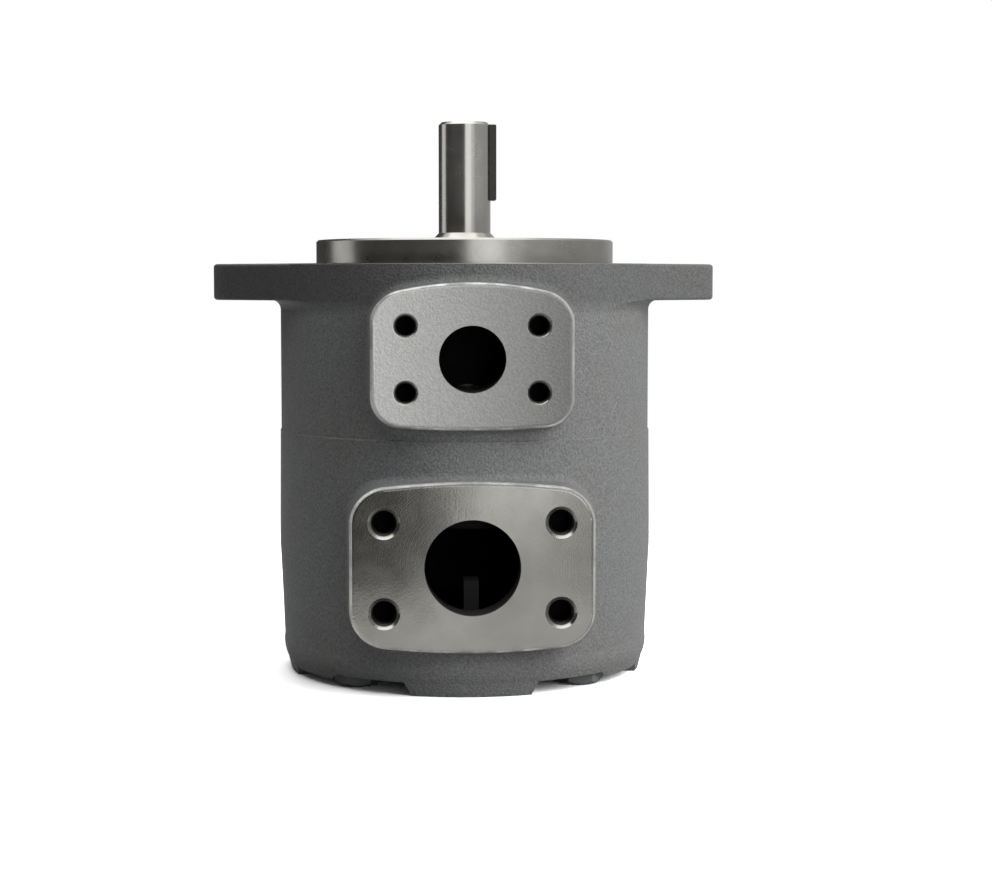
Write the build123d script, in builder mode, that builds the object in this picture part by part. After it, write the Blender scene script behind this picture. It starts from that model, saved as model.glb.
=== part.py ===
from build123d import *
from math import asin, cos, degrees, hypot, radians, sin
import os

# Frame: origin at the centre of the flange face, +Z towards the drive end, ports towards -Y. Millimetres.

# Flange and pilot
pilot_radius = 63.5
pilot_height = 10.1
pilot_chamfer = 0.8
flange_thickness = 15.2
flange_round = 1.4
flange_flare = 4.0
ear_offset = 90.5
ear_radius = 16.7
ear_hole_radius = 8.75

# Outside of the two castings
neck_radius = 78.8
joint_radius = neck_radius + 0.4
joint_z = -70.0
joint_bevel = 0.5
belt_swell = 0.8
belt_radius = neck_radius + belt_swell
belt_z = -119.0
heel_radius = neck_radius - 0.9
lip_radius = heel_radius - 1.3
rim_radius = lip_radius - 1.0
rim_z = -169.8
heel_height = 11.8
heel_z = rim_z + heel_height
heel_bend = 15.0
lip_height = 2.5
lip_z = rim_z + lip_height
foot_height = 3.1
foot_bottom_z = rim_z - foot_height
foot_radius = lip_radius - 1.4
foot_width = 54.4
foot_draft = 30.0
pocket_far_x = 54.5
pocket_near_y = 36.5

# Port pads
pad_stand = 5.2
pad_face_y = neck_radius + pad_stand
pad_depth = 34.0
pad_draft = 3.0
pad_edge = 1.8
pad_fillet = 3.2
seam_slack = 0.4
discharge_z = -37.7
discharge_width = 76.2
discharge_height = 49.9
discharge_corner = 11.0
discharge_bulge_top = 3.2
discharge_bulge_bottom = 1.2
discharge_bore_radius = 13.2
discharge_bore_end_y = 42.0
discharge_bore_depth = pad_face_y - discharge_bore_end_y
discharge_hole_x = 52.37
discharge_hole_z = 26.19
discharge_hole_radius = 4.25
discharge_hole_mouth = 5.0
discharge_hole_depth = 20.0
suction_z = -119.7
suction_width = 93.2
suction_height = 60.4
suction_corner = 13.5
suction_bulge = 2.0
suction_bore_radius = 19.05
suction_hole_x = 69.85
suction_hole_z = 35.71
suction_hole_radius = 5.2
suction_hole_mouth = 6.4
suction_hole_depth = 22.0

# Shaft
shaft_top_z = 60.3
shaft_radius = 11.11
shaft_chamfer = 1.2
centre_hole_radius = 2.0
centre_hole_depth = 6.0
centre_mouth_radius = 4.0
cone_top_z = 13.3
cone_bottom_z = 10.4
land_radius = 14.0
race_seat_radius = land_radius + 1.0
race_seat_top_z = -1.5
shoulder_radius = race_seat_radius + 2.5
shoulder_length = 3.0
neck_shaft_radius = land_radius - 0.5
tail_radius = 10.0
tail_end_z = -104.0
spline_count = 12
spline_root_radius = neck_shaft_radius - 1.5
spline_width = 3.2
spline_clearance = 0.1

# Key
key_size = 6.35
key_proud = 2.4
key_low_z = 27.2
key_high_z = 59.4
key_side_clearance = 0.01
key_round = 0.7

# Bearing
bearing_top_z = -4.0
bearing_bottom_z = -20.0
bearing_outer_radius = 31.0
bearing_depth = bearing_outer_radius - race_seat_radius
ball_radius = 0.2977 * bearing_depth
ball_pitch_radius = race_seat_radius + bearing_depth / 2
ball_count = 9
ball_clearance = 0.05
race_thickness = 0.275 * bearing_depth
race_bevel = 0.6
cage_thickness = 2.2
cage_pocket_clearance = 0.12
cage_pocket_depth = 6.0
cage_width = 2 * ball_radius + 1.5
circlip_thickness = 1.5
circlip_groove_width = 1.7
housing_circlip_inner = bearing_outer_radius - 2.7
housing_circlip_outer = bearing_outer_radius + 1.8
shaft_circlip_inner = race_seat_radius - 1.3
shaft_circlip_outer = race_seat_radius + 2.4
circlip_gap = 7.0

# Shaft seal
seal_top_z = 8.5
seal_bottom_z = -1.3
seal_wall = 1.2
seal_window_gap = 4.6
seal_window_radius = land_radius + seal_window_gap
seal_lip_clearance = 0.05
seal_spring_radius = 0.8
seal_spring_z = 2.6
seal_lip_depth = 3.1
seal_throat = 2.2
seal_lip_slope = 1.1
seal_lip_rise = 3.4
seal_lip_drop = 1.8
seal_heel = 1.5
seal_spring_room = 2.6
seal_skin = 1.6

# Cartridge
plate_top_z = -51.0
ring_top_z = -62.0
ring_bottom_z = -94.0
side_plate_bottom_z = -105.0
minor_radius = 38.0
cam_lift = 3.0
major_radius = minor_radius + cam_lift
dwell_angle = 18.0
ramp_steps = 6
ring_wall = 8.0
ring_outer_radius = major_radius + ring_wall
plate_clearance = 0.05
plate_bore_inner = neck_shaft_radius + 1.1
plate_hub_radius = 23.95
plate_hub_top_z = -36.0
rotor_clearance = 0.4
rotor_radius = minor_radius - rotor_clearance
side_clearance = 0.05
vane_count = 10
vane_thickness = 3.0
vane_height = 15.8
vane_tip_bevel = 0.6
slot_clearance = 0.05
slot_root_radius = 2.2
slot_root_centre = rotor_radius - vane_height + 0.7
window_inner = rotor_radius - 1.8
window_outer = major_radius - 0.1
window_sweep = 40.0
window_recess_depth = 3.4
under_vane_inner = slot_root_centre - slot_root_radius + 0.1
under_vane_outer = under_vane_inner + 3.6
under_vane_depth = 1.6
discharge_angles = (45, 225)
suction_angles = (135, 315)
ledge_width = 5.0
ledge_radius = ring_outer_radius - ledge_width
spigot_radius = ledge_radius - plate_clearance
spigot_height = 4.0
dowel_radius = 2.5
dowel_clearance = 0.04
dowel_bevel = 0.4
dowel_angles = (14, 194)
cartridge_screw_angles = (166, 346)
fastener_inset = 5.4
fastener_circle = ring_outer_radius - fastener_inset
fastener_end_gap = 4.0
cartridge_screw_radius = 2.5
cartridge_screw_clearance = 0.2
cartridge_head_radius = 4.2
cartridge_head_height = 5.0
cartridge_head_pocket = 4.5
cartridge_socket = 4.0
cartridge_socket_depth = 2.5
bushing_outer_radius = tail_radius + 3.0
bushing_clearance = 0.04
bushing_length = 10.0

# Hollows of the front housing
web_z = -25.0
web_relief_depth = 1.0
web_bore_radius = shoulder_radius + 1.0
bearing_step = 6.0
web_relief_radius = bearing_outer_radius - bearing_step
hub_bore_top_z = -33.0
tube_wall = 6.0
tube_radius = plate_hub_radius + tube_wall
plate_bore_radius = ring_outer_radius + 1.0
chamber_radius = plate_bore_radius - 4.0
chamber_bottom_z = -50.0
relief_z = -59.0
body_bore_radius = ring_outer_radius + 4.0

# O-rings and their grooves
hub_groove_radius = plate_hub_radius - 1.95
hub_groove_top_z = -42.5
hub_groove_width = 2.8
plate_groove_radius = plate_bore_radius - 2.4
plate_groove_top_z = -53.2
plate_groove_width = 3.4
body_groove_radius = body_bore_radius + 3.0
body_groove_width = 3.2
body_groove_depth = 2.0
ring_slack = 0.02

# Cover screws
screw_groove_gap = 8.35
screw_offset = (body_groove_radius + screw_groove_gap) * cos(radians(45))
screw_hole_radius = 5.5
screw_thread_radius = 5.0
screw_thread_depth = 24.0
screw_engaged = 20.0
screw_seat_depth = 3.5
screw_seat_z = rim_z + screw_seat_depth
screw_spot_radius = 12.0
screw_head_height = 6.2
screw_head_flats = 17.0
screw_head_bevel = 1.0

# Hollows of the rear housing
rear_wall = 19.8
suction_chamber_bottom_z = rim_z + rear_wall
suction_chamber_round = 7.0
passage_half_width = 26.0
passage_top_z = -97.5
passage_step = 4.0
passage_bottom_z = suction_chamber_bottom_z + passage_step
suction_bore_depth = 15.0
passage_front_y = pad_face_y - suction_bore_depth
passage_back_y = 30.0
passage_round = 8.0
rib_width = 6.0
rib_height = 19.0
rib_top_z = passage_bottom_z + rib_height
rib_depth = 13.0
rib_back_y = passage_front_y - rib_depth

screw_places = [(sx * screw_offset, sy * screw_offset) for sx in (-1, 1) for sy in (-1, 1)]
os.makedirs("parts", exist_ok=True)


def section(points):
    """A closed straight-sided half section, as (radius, height) points."""
    with BuildSketch(Plane.XZ) as outline:
        with BuildLine():
            Polyline(*points, close=True)
        make_face()
    return outline.sketch


def band(inner, outer, low, high):
    """The half section of a plain ring."""
    return section([(inner, low), (outer, low), (outer, high), (inner, high)])


def flange_outline():
    """The flange's plan: a central round and two ears joined by straight sides."""
    with BuildSketch(Plane.XY) as plan:
        Circle(neck_radius)
        with Locations((-ear_offset, 0), (ear_offset, 0)):
            Circle(ear_radius)
        make_hull()
    return plan.sketch


def pad_outline(z, width, height, corner, top, bottom, grow, y):
    """A port pad's outline on the plane y, with its long sides bowed outwards."""
    half = width / 2 + grow
    up = z + height / 2 + grow
    down = z - height / 2 - grow
    with BuildSketch(Plane.XZ.offset(y)) as outline:
        with BuildLine():
            crown = ThreePointArc((corner - half, up), (0, up + top), (half - corner, up))
            foot = ThreePointArc((corner - half, down), (0, down - bottom), (half - corner, down))
            left = Line((-half, down + corner), (-half, up - corner))
            right = Line((half, down + corner), (half, up - corner))
            TangentArc(crown @ 0, left @ 1, tangent=-(crown % 0))
            TangentArc(crown @ 1, right @ 1, tangent=crown % 1)
            TangentArc(foot @ 0, left @ 0, tangent=-(foot % 0))
            TangentArc(foot @ 1, right @ 0, tangent=foot % 1)
        make_face()
    return outline.sketch


def pad_block(z, width, height, corner, top, bottom):
    """A drafted port pad with a rounded edge, from its face back into the barrel."""
    grow = pad_edge + pad_depth * sin(radians(pad_draft))
    with BuildPart() as block:
        add(pad_outline(z, width, height, corner, top, bottom, pad_edge, pad_face_y))
        add(pad_outline(z, width, height, corner, top, bottom, grow, pad_face_y - pad_depth))
        loft(ruled=True)
        fillet(block.faces().sort_by(Axis.Y)[0].edges(), pad_edge)
    return block.part


def seam_edges(edges, low, high):
    """The edges where a pad meets the round barrel."""
    found = []
    for edge in edges:
        ends = [edge @ t for t in (0, 0.5, 1)]
        round_all = all(abs(hypot(p.X, p.Y) - neck_radius) < belt_swell + seam_slack for p in ends)
        if round_all and all(low < p.Z < high and p.Y < 0 for p in ends):
            found.append(edge)
    return found


def port_holes(z, bore, depth, pitch_x, pitch_z, radius, mouth, hole_depth):
    """A port's bore and its four bolt holes, as one cutting body."""
    with BuildPart() as cut:
        with BuildSketch(Plane.XZ.offset(pad_face_y)):
            with Locations((0, z)):
                Circle(bore)
        extrude(amount=-depth)
        with BuildSketch(Plane.XZ.offset(pad_face_y)):
            with Locations((0, z)):
                with GridLocations(pitch_x, pitch_z, 2, 2):
                    Circle(radius)
        extrude(amount=-hole_depth)
        with Locations(Plane.XZ.offset(pad_face_y)):
            with Locations((0, z)):
                with GridLocations(pitch_x, pitch_z, 2, 2):
                    Cone(radius, mouth, mouth - radius, align=(Align.CENTER, Align.CENTER, Align.MAX))
    return cut.part


def sector(inner, outer, middle_angle, sweep):
    """A ring sector in plan, with straight ends."""
    start = middle_angle - sweep / 2
    with BuildSketch(Plane.XY) as plan:
        with BuildLine():
            near = CenterArc((0, 0), inner, start, sweep)
            far = CenterArc((0, 0), outer, start, sweep)
            Line(near @ 0, far @ 0)
            Line(near @ 1, far @ 1)
        make_face()
    return plan.sketch


def kidney(inner, outer, middle_angle, sweep):
    """A curved slot in plan, with round ends."""
    middle = (inner + outer) / 2
    half = (outer - inner) / 2
    span = sweep - 2 * degrees(asin(half / middle))
    with BuildSketch(Plane.XY) as plan:
        SlotArc(CenterArc((0, 0), middle, middle_angle - span / 2, span), 2 * half)
    return plan.sketch


def cam_radius(angle):
    """The ring's inner radius at an angle in degrees from the minor axis."""
    folded = abs((angle + 90) % 180 - 90)
    share = min(max((folded - dwell_angle) / (90 - 2 * dwell_angle), 0), 1)
    return minor_radius + (major_radius - minor_radius) * share * share * (3 - 2 * share)


def cam_ramp(start, stop):
    """One ramp of the ring's inner track, from a minor to a major dwell or back."""
    angles = [start + (stop - start) * i / ramp_steps for i in range(ramp_steps + 1)]
    points = [(cam_radius(a) * cos(radians(a)), cam_radius(a) * sin(radians(a))) for a in angles]
    ends = [(-sin(radians(a)), cos(radians(a))) for a in (start, stop)]
    return Spline(*points, tangents=ends)


def spline_outline(root, tip, width):
    """A straight-sided spline in plan."""
    with BuildSketch(Plane.XY) as plan:
        Circle(tip)
        with BuildSketch(mode=Mode.PRIVATE) as gaps:
            Circle(tip)
            Circle(root, mode=Mode.SUBTRACT)
            with PolarLocations(0, spline_count):
                with Locations((tip / 2, 0)):
                    Rectangle(tip * 2 - root, width, mode=Mode.SUBTRACT)
        add(gaps.sketch, mode=Mode.SUBTRACT)
    return plan.sketch


def save(builder, label):
    """Label a sub-part and write its STEP file."""
    builder.part.label = label
    export_step(builder.part, f"parts/{label}.step")


# Front housing: flange, pilot and discharge port in one casting
with BuildPart() as flare:
    revolve(section([(0, 0), (neck_radius + flange_flare, 0),
                     (neck_radius + flange_flare, -flange_thickness),
                     (neck_radius, -flange_thickness - flange_flare), (0, -flange_thickness - flange_flare)]))
    with BuildSketch(Plane.XZ):
        with Locations((neck_radius + flange_flare, -flange_thickness - flange_flare)):
            Circle(flange_flare)
    revolve(axis=Axis.Z, mode=Mode.SUBTRACT)
    extrude(flange_outline(), amount=-flange_thickness - flange_flare, mode=Mode.INTERSECT)

with BuildPart() as flange:
    extrude(flange_outline(), amount=-flange_thickness)
    fillet(flange.edges().filter_by(Plane.XY), flange_round)

with BuildPart() as front_housing:
    revolve(section([(0, -flange_round), (neck_radius, -flange_round), (neck_radius, joint_z), (0, joint_z)]))
    add(pad_block(discharge_z, discharge_width, discharge_height, discharge_corner,
                  discharge_bulge_top, discharge_bulge_bottom))
    fillet(seam_edges(front_housing.edges(Select.LAST), joint_z, 0), pad_fillet)
    add(flare.part)
    add(flange.part)
    revolve(section([(0, -flange_round), (pilot_radius, -flange_round),
                     (pilot_radius, pilot_height - pilot_chamfer),
                     (pilot_radius - pilot_chamfer, pilot_height), (0, pilot_height)]))
    revolve(section([(0, pilot_height), (bearing_outer_radius + pilot_chamfer, pilot_height),
                     (bearing_outer_radius, pilot_height - pilot_chamfer),
                     (bearing_outer_radius, bearing_bottom_z),
                     (web_relief_radius, bearing_bottom_z),
                     (web_relief_radius, bearing_bottom_z - web_relief_depth),
                     (web_bore_radius, bearing_bottom_z - web_relief_depth),
                     (web_bore_radius, hub_bore_top_z),
                     (plate_hub_radius + plate_clearance, hub_bore_top_z),
                     (plate_hub_radius + plate_clearance, chamber_bottom_z),
                     (plate_bore_radius, chamber_bottom_z), (plate_bore_radius, relief_z),
                     (body_bore_radius, relief_z), (body_bore_radius, joint_z), (0, joint_z)]),
            mode=Mode.SUBTRACT)
    revolve(band(tube_radius, chamber_radius, chamber_bottom_z, web_z), mode=Mode.SUBTRACT)
    revolve(band(housing_circlip_inner, housing_circlip_outer, bearing_top_z,
                 bearing_top_z + circlip_groove_width), mode=Mode.SUBTRACT)
    add(port_holes(discharge_z, discharge_bore_radius, discharge_bore_depth,
                   discharge_hole_x, discharge_hole_z, discharge_hole_radius, discharge_hole_mouth,
                   discharge_hole_depth), mode=Mode.SUBTRACT)
    with BuildSketch(Plane.XY):
        with Locations((-ear_offset, 0), (ear_offset, 0)):
            Circle(ear_hole_radius)
    extrude(amount=-flange_thickness - flange_flare, mode=Mode.SUBTRACT)
    with BuildSketch(Plane.XY.offset(joint_z)):
        with Locations(*screw_places):
            Circle(screw_thread_radius)
    extrude(amount=screw_thread_depth, mode=Mode.SUBTRACT)
save(front_housing, "front_housing")

# Rear housing: barrel, suction port and cross-shaped foot in one casting
with BuildPart() as arms:
    with BuildSketch(Plane.XY.offset(lip_z)):
        Rectangle(foot_width, 3 * lip_radius)
        Rectangle(3 * lip_radius, foot_width)
    extrude(amount=foot_bottom_z - lip_z, taper=foot_draft)
    revolve(section([(0, lip_z), (lip_radius, lip_z), (foot_radius, foot_bottom_z), (0, foot_bottom_z)]),
            mode=Mode.INTERSECT)

with BuildPart() as foot:
    revolve(section([(0, lip_z), (lip_radius, lip_z), (rim_radius, rim_z), (0, rim_z)]))
    with BuildSketch(Plane.XY.offset(rim_z)):
        with Locations((0, -neck_radius), (0, neck_radius)):
            Rectangle(2 * pocket_far_x, 2 * (neck_radius - pocket_near_y))
    extrude(amount=lip_z - rim_z, mode=Mode.SUBTRACT)
    add(arms.part)

with BuildPart() as passage:
    with BuildSketch(Plane.XZ.offset(passage_back_y)):
        with Locations((0, (passage_top_z + passage_bottom_z) / 2)):
            RectangleRounded(2 * passage_half_width, passage_top_z - passage_bottom_z, passage_round)
    extrude(amount=passage_front_y - passage_back_y)

with BuildPart() as suction_hollow:
    revolve(section([(0, joint_z), (body_bore_radius, joint_z), (body_bore_radius, side_plate_bottom_z),
                     (ledge_radius, side_plate_bottom_z), (ledge_radius, suction_chamber_bottom_z),
                     (0, suction_chamber_bottom_z)]))
    fillet(suction_hollow.edges().filter_by(GeomType.CIRCLE).group_by(Axis.Z)[0], suction_chamber_round)
    add(passage.part)
    with BuildSketch(Plane.XY.offset(suction_chamber_bottom_z)):
        with Locations((0, -(passage_front_y + rib_back_y) / 2)):
            Rectangle(rib_width, passage_front_y - rib_back_y)
    extrude(amount=rib_top_z - suction_chamber_bottom_z, mode=Mode.SUBTRACT)

with BuildPart() as rear_housing:
    with BuildSketch(Plane.XZ):
        with BuildLine():
            Polyline((0, lip_z), (0, joint_z), (joint_radius - joint_bevel, joint_z),
                     (joint_radius, joint_z - joint_bevel), (belt_radius, belt_z), (heel_radius, heel_z))
            RadiusArc((heel_radius, heel_z), (lip_radius, lip_z), heel_bend)
            Line((lip_radius, lip_z), (0, lip_z))
        make_face()
    revolve(axis=Axis.Z)
    add(pad_block(suction_z, suction_width, suction_height, suction_corner, suction_bulge, suction_bulge))
    fillet(seam_edges(rear_housing.edges(Select.LAST), rim_z, joint_z), pad_fillet)
    add(foot.part)
    add(suction_hollow.part, mode=Mode.SUBTRACT)
    add(port_holes(suction_z, suction_bore_radius, suction_bore_depth,
                   suction_hole_x, suction_hole_z, suction_hole_radius, suction_hole_mouth,
                   suction_hole_depth), mode=Mode.SUBTRACT)
    with BuildSketch(Plane.XY.offset(joint_z)):
        with Locations(*screw_places):
            Circle(screw_hole_radius)
    extrude(amount=rim_z - joint_z, mode=Mode.SUBTRACT)
    with BuildSketch(Plane.XY.offset(screw_seat_z)):
        with Locations(*screw_places):
            Circle(screw_spot_radius)
    extrude(amount=rim_z - screw_seat_z, mode=Mode.SUBTRACT)
    revolve(band(body_groove_radius - body_groove_width / 2, body_groove_radius + body_groove_width / 2,
                 joint_z - body_groove_depth, joint_z), mode=Mode.SUBTRACT)
save(rear_housing, "rear_housing")

# Hexagon-headed screws that hold the castings together
with BuildPart() as cover_screws:
    with BuildSketch(Plane.XY.offset(screw_seat_z)):
        with Locations(*screw_places):
            RegularPolygon(screw_head_flats / 2, 6, major_radius=False)
    extrude(amount=-screw_head_height)
    with Locations(*[(x, y, screw_seat_z - screw_head_height) for x, y in screw_places]):
        with BuildPart(mode=Mode.PRIVATE) as head_round:
            revolve(section([(0, 0), (screw_head_flats / 2 - screw_head_bevel / 2, 0),
                             (screw_head_flats / 2 + screw_head_bevel * 2, screw_head_bevel * 2),
                             (screw_head_flats / 2 + screw_head_bevel * 2, screw_head_height),
                             (0, screw_head_height)]))
        add(head_round.part, mode=Mode.INTERSECT)
    with BuildSketch(Plane.XY.offset(screw_seat_z)):
        with Locations(*screw_places):
            Circle(screw_thread_radius)
    extrude(amount=joint_z + screw_engaged - screw_seat_z)
save(cover_screws, "cover_screws")

# Drive shaft, with its keyway and its spline
with BuildPart() as shaft:
    revolve(section([(0, shaft_top_z), (shaft_radius - shaft_chamfer, shaft_top_z),
                     (shaft_radius, shaft_top_z - shaft_chamfer), (shaft_radius, cone_top_z),
                     (land_radius, cone_bottom_z), (land_radius, race_seat_top_z),
                     (race_seat_radius, race_seat_top_z), (race_seat_radius, bearing_bottom_z),
                     (shoulder_radius, bearing_bottom_z),
                     (shoulder_radius, bearing_bottom_z - shoulder_length),
                     (neck_shaft_radius, bearing_bottom_z - shoulder_length), (neck_shaft_radius, ring_top_z),
                     (spline_root_radius, ring_top_z), (spline_root_radius, ring_bottom_z),
                     (tail_radius, ring_bottom_z), (tail_radius, tail_end_z), (0, tail_end_z)]))
    with BuildSketch(Plane.XY.offset(ring_bottom_z)):
        add(spline_outline(spline_root_radius, neck_shaft_radius, spline_width))
    extrude(amount=ring_top_z - ring_bottom_z)
    revolve(band(shaft_circlip_inner, shoulder_radius, bearing_top_z, bearing_top_z + circlip_groove_width),
            mode=Mode.SUBTRACT)
    revolve(section([(0, shaft_top_z), (centre_mouth_radius, shaft_top_z),
                     (centre_hole_radius, shaft_top_z - centre_mouth_radius + centre_hole_radius),
                     (centre_hole_radius, shaft_top_z - centre_hole_depth),
                     (0, shaft_top_z - centre_hole_depth)]), mode=Mode.SUBTRACT)
    with BuildSketch(Plane.YZ.offset(shaft_radius + key_proud - key_size)):
        with Locations((0, key_low_z)):
            Rectangle(key_size + 2 * key_side_clearance, shaft_top_z - key_low_z,
                      align=(Align.CENTER, Align.MIN))
    extrude(amount=key_size, mode=Mode.SUBTRACT)
save(shaft, "shaft")

# Shaft key
with BuildPart() as key:
    with BuildSketch(Plane.YZ.offset(shaft_radius + key_proud - key_size)):
        with Locations((0, key_low_z)):
            Rectangle(key_size, key_high_z - key_low_z, align=(Align.CENTER, Align.MIN))
    extrude(amount=key_size)
    fillet(key.faces().sort_by(Axis.X)[-1].edges(), key_round)
save(key, "key")

# Shaft seal: metal case, rubber lip and garter spring
with BuildPart() as seal_case:
    revolve(section([(bearing_outer_radius, seal_bottom_z), (bearing_outer_radius, seal_top_z),
                     (seal_window_radius, seal_top_z), (seal_window_radius, seal_top_z - seal_wall),
                     (bearing_outer_radius - seal_wall, seal_top_z - seal_wall),
                     (bearing_outer_radius - seal_wall, seal_bottom_z)]))
save(seal_case, "seal_case")

seal_lip_radius = land_radius + seal_lip_clearance
seal_back_radius = seal_lip_radius + seal_lip_depth
seal_skin_radius = seal_window_radius + seal_skin
with BuildPart() as seal_lip:
    revolve(section([(seal_window_radius, seal_top_z), (seal_lip_radius + seal_throat, seal_top_z),
                     (seal_lip_radius + seal_lip_slope, seal_spring_z + seal_lip_rise),
                     (seal_lip_radius, seal_spring_z),
                     (seal_lip_radius + seal_throat - seal_lip_slope, seal_spring_z - seal_lip_drop),
                     (seal_back_radius, seal_spring_z - seal_heel),
                     (seal_back_radius, seal_spring_z + seal_spring_room),
                     (seal_skin_radius, seal_top_z - 2 * seal_wall),
                     (seal_skin_radius, seal_top_z - seal_wall),
                     (seal_window_radius, seal_top_z - seal_wall)]))
save(seal_lip, "seal_lip")

with BuildPart() as seal_spring:
    with BuildSketch(Plane.XZ):
        with Locations((seal_back_radius + seal_spring_radius + ring_slack, seal_spring_z)):
            Circle(seal_spring_radius)
    revolve(axis=Axis.Z)
save(seal_spring, "seal_spring")


def circlip(inner, outer, gap_angle):
    """An open retaining ring against the bearing's upper face."""
    with BuildPart() as clip:
        with BuildSketch(Plane.XY.offset(bearing_top_z)):
            Circle(outer)
            Circle(inner, mode=Mode.SUBTRACT)
            with Locations(Location((0, 0), gap_angle)):
                with Locations((outer, 0)):
                    Rectangle(2 * outer, circlip_gap, mode=Mode.SUBTRACT)
        extrude(amount=circlip_thickness)
    return clip.part


with BuildPart() as bearing_circlip:
    add(circlip(housing_circlip_inner, housing_circlip_outer, -90))
save(bearing_circlip, "bearing_circlip")

with BuildPart() as shaft_circlip:
    add(circlip(shaft_circlip_inner, shaft_circlip_outer, 90))
save(shaft_circlip, "shaft_circlip")

# Ball bearing: two races, balls and cage
bearing_middle_z = (bearing_top_z + bearing_bottom_z) / 2


def race(inner, outer):
    """A bearing race with its ball track and bevelled corners."""
    with BuildPart() as ring:
        revolve(band(inner, outer, bearing_bottom_z, bearing_top_z))
        chamfer(ring.edges().filter_by(GeomType.CIRCLE), race_bevel)
        with BuildSketch(Plane.XZ):
            with Locations((ball_pitch_radius, bearing_middle_z)):
                Circle(ball_radius + ball_clearance)
        revolve(axis=Axis.Z, mode=Mode.SUBTRACT)
    return ring.part


with BuildPart() as bearing_outer_race:
    add(race(bearing_outer_radius - race_thickness, bearing_outer_radius))
save(bearing_outer_race, "bearing_outer_race")

with BuildPart() as bearing_inner_race:
    add(race(race_seat_radius, race_seat_radius + race_thickness))
save(bearing_inner_race, "bearing_inner_race")

with BuildPart() as bearing_balls:
    with Locations((0, 0, bearing_middle_z)):
        with PolarLocations(ball_pitch_radius, ball_count):
            Sphere(ball_radius)
save(bearing_balls, "bearing_balls")

with BuildPart() as bearing_cage:
    revolve(band(ball_pitch_radius - cage_thickness / 2, ball_pitch_radius + cage_thickness / 2,
                 bearing_middle_z - cage_width / 2, bearing_middle_z + cage_width / 2))
    with Locations((0, 0, bearing_middle_z)):
        with PolarLocations(ball_pitch_radius, ball_count):
            Cylinder(ball_radius + cage_pocket_clearance, cage_pocket_depth, rotation=(0, 90, 0),
                     mode=Mode.SUBTRACT)
save(bearing_cage, "bearing_cage")

# Fasteners that hold the cartridge together
cartridge_head_z = side_plate_bottom_z + cartridge_head_height
fastener_top_z = ring_top_z + fastener_end_gap


def on_circle(angles):
    """Places on the cartridge's fastener circle."""
    return [(fastener_circle * cos(radians(a)), fastener_circle * sin(radians(a))) for a in angles]


def fastener_bores(low, high, clearance):
    """The dowel and screw bores between two heights."""
    with BuildPart() as cut:
        with BuildSketch(Plane.XY.offset(low)):
            with Locations(*on_circle(dowel_angles)):
                Circle(dowel_radius + dowel_clearance)
            with Locations(*on_circle(cartridge_screw_angles)):
                Circle(cartridge_screw_radius + clearance)
        extrude(amount=high - low)
    return cut.part


with BuildPart() as dowel_pins:
    with BuildSketch(Plane.XY.offset(ring_bottom_z - fastener_end_gap)):
        with Locations(*on_circle(dowel_angles)):
            Circle(dowel_radius)
    extrude(amount=fastener_top_z - ring_bottom_z + fastener_end_gap)
    chamfer(dowel_pins.edges().filter_by(GeomType.CIRCLE), dowel_bevel)
save(dowel_pins, "dowel_pins")

with BuildPart() as cartridge_screws:
    with BuildSketch(Plane.XY.offset(cartridge_head_z)):
        with Locations(*on_circle(cartridge_screw_angles)):
            Circle(cartridge_screw_radius)
    extrude(amount=fastener_top_z - cartridge_head_z)
    with BuildSketch(Plane.XY.offset(cartridge_head_z)):
        with Locations(*on_circle(cartridge_screw_angles)):
            Circle(cartridge_head_radius)
    extrude(amount=-cartridge_head_height)
    with BuildSketch(Plane.XY.offset(side_plate_bottom_z)):
        with Locations(*on_circle(cartridge_screw_angles)):
            RegularPolygon(cartridge_socket / 2, 6, major_radius=False)
    extrude(amount=cartridge_socket_depth, mode=Mode.SUBTRACT)
save(cartridge_screws, "cartridge_screws")

# Pressure plate on the discharge side, with its hub
with BuildPart() as pressure_plate:
    revolve(section([(plate_bore_inner, plate_hub_top_z), (plate_hub_radius, plate_hub_top_z),
                     (plate_hub_radius, plate_top_z), (plate_bore_radius - plate_clearance, plate_top_z),
                     (plate_bore_radius - plate_clearance, ring_top_z), (plate_bore_inner, ring_top_z)]))
    revolve(band(hub_groove_radius, plate_hub_radius, hub_groove_top_z - hub_groove_width, hub_groove_top_z),
            mode=Mode.SUBTRACT)
    revolve(band(plate_groove_radius, plate_bore_radius, plate_groove_top_z - plate_groove_width,
                 plate_groove_top_z), mode=Mode.SUBTRACT)
    with BuildSketch(Plane.XY.offset(ring_top_z)):
        for angle in discharge_angles:
            add(kidney(window_inner, window_outer, angle, window_sweep))
    extrude(amount=plate_top_z - ring_top_z, mode=Mode.SUBTRACT)
    with BuildSketch(Plane.XY.offset(ring_top_z)):
        for angle in suction_angles:
            add(sector(window_inner, body_bore_radius, angle, window_sweep))
    extrude(amount=window_recess_depth, mode=Mode.SUBTRACT)
    with BuildSketch(Plane.XY.offset(ring_top_z)):
        for angle in discharge_angles + suction_angles:
            add(kidney(under_vane_inner, under_vane_outer, angle, window_sweep))
    extrude(amount=under_vane_depth, mode=Mode.SUBTRACT)
    add(fastener_bores(ring_top_z, fastener_top_z, cartridge_screw_clearance), mode=Mode.SUBTRACT)
save(pressure_plate, "pressure_plate")

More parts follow.
